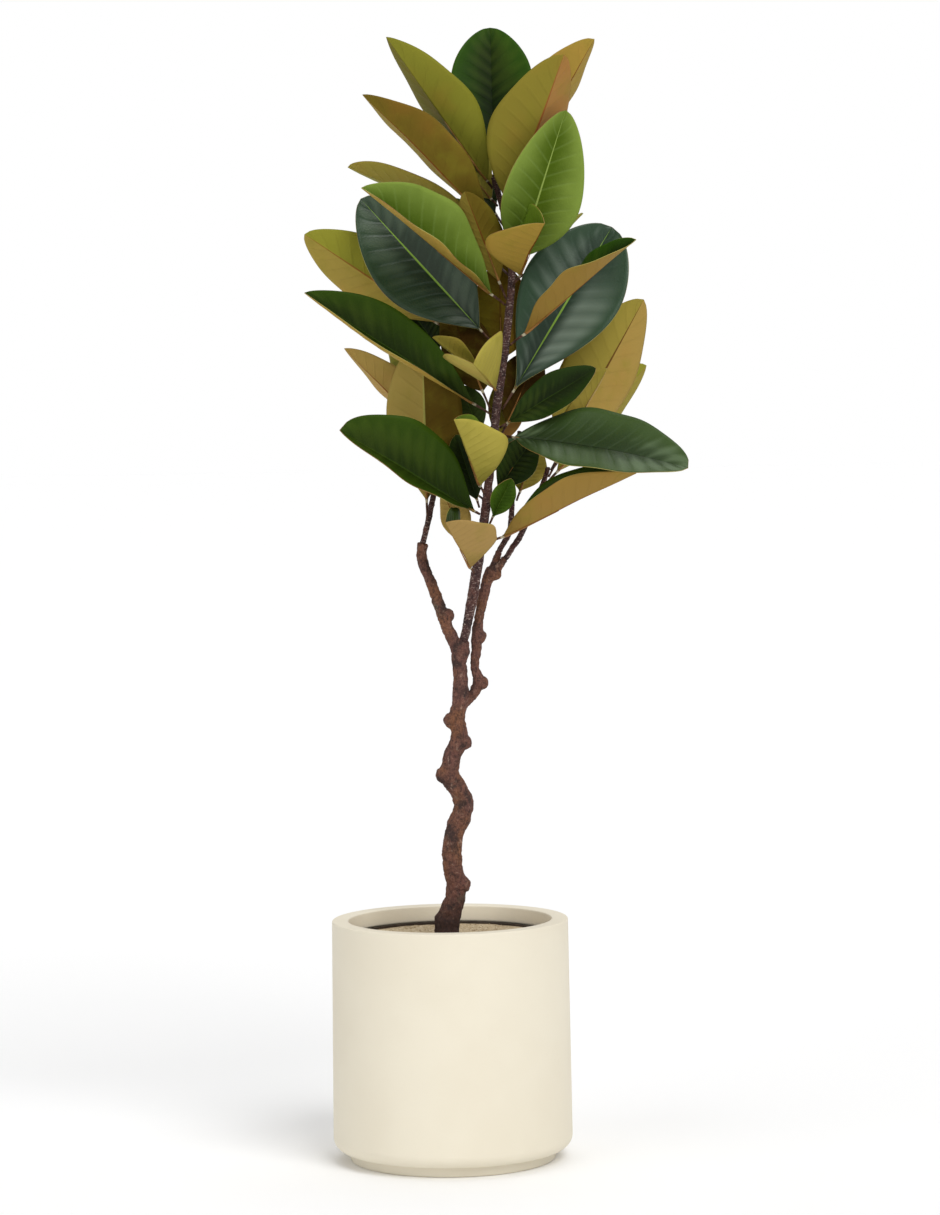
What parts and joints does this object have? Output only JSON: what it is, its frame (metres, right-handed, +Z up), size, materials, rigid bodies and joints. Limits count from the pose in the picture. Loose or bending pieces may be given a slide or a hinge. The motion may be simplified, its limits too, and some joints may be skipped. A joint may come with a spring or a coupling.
{
  "type": "potted rubber plant",
  "caption": "Tall potted foliage plant with a crooked forked trunk, slim stems and large glossy leaves with tan undersides, in a round matte cream planter.",
  "frame": {"origin": "centre of the planter's round underside, on the floor", "axes": "+Z up along the planter's axis, -Y towards the front of the plant, +X to the right of someone facing the front"},
  "size_m": [0.4716, 0.3229, 1.4308],
  "materials": {
    "planter": "matte cream, fine even grain",
    "nursery_pot": "dark brown, satin",
    "top_dressing": "sandy grit, matte",
    "potting_mix": "dark bark and fibre mix, matte",
    "trunk_bark": "reddish-brown bark with dark patches, rough",
    "stem_bark": "dark brown young bark with leaf scars, rough",
    "leaf_blue_green": "dark blue-green top, satin gloss, lime midrib",
    "leaf_green": "deep green top, satin gloss",
    "leaf_lime": "light lime-green top, satin",
    "leaf_olive": "olive-brown underside seen, satin",
    "leaf_tan": "golden tan underside seen, satin"
  },
  "bodies": {
    "root": {"planter": "planter", "nursery_pot": "nursery_pot", "top_dressing": "top_dressing", "potting_mix": "potting_mix", "trunk": "trunk_bark", "stem_main": "stem_bark", "stem_left": "stem_bark", "stem_inner": "stem_bark", "stem_outer": "stem_bark", "leaf_01": "leaf_green", "leaf_02": "leaf_olive", "leaf_03": "leaf_tan", "leaf_04": "leaf_tan", "leaf_05": "leaf_olive", "leaf_06": "leaf_lime", "leaf_07": "leaf_tan", "leaf_08": "leaf_lime", "leaf_09": "leaf_blue_green", "leaf_10": "leaf_olive", "leaf_11": "leaf_green", "leaf_12": "leaf_tan", "leaf_13": "leaf_lime", "leaf_14": "leaf_tan", "leaf_15": "leaf_green", "leaf_16": "leaf_tan", "leaf_17": "leaf_tan", "leaf_18": "leaf_tan", "leaf_19": "leaf_tan", "leaf_20": "leaf_olive", "leaf_21": "leaf_lime", "leaf_22": "leaf_blue_green", "leaf_23": "leaf_tan", "leaf_24": "leaf_lime", "leaf_25": "leaf_tan", "leaf_26": "leaf_tan", "leaf_27": "leaf_green", "leaf_28": "leaf_green", "leaf_29": "leaf_tan", "leaf_30": "leaf_olive", "leaf_31": "leaf_tan", "leaf_32": "leaf_green", "leaf_33": "leaf_lime", "leaf_34": "leaf_green", "leaf_35": "leaf_green", "leaf_36": "leaf_green", "leaf_37": "leaf_olive", "leaf_38": "leaf_green", "leaf_39": "leaf_tan", "leaf_40": "leaf_olive", "leaf_41": "leaf_olive", "leaf_42": "leaf_tan", "leaf_43": "leaf_green", "leaf_44": "leaf_green", "leaf_45": "leaf_green", "leaf_46": "leaf_green", "leaf_47": "leaf_green", "leaf_48": "leaf_green", "leaf_49": "leaf_olive"}
  },
  "joints": []
}
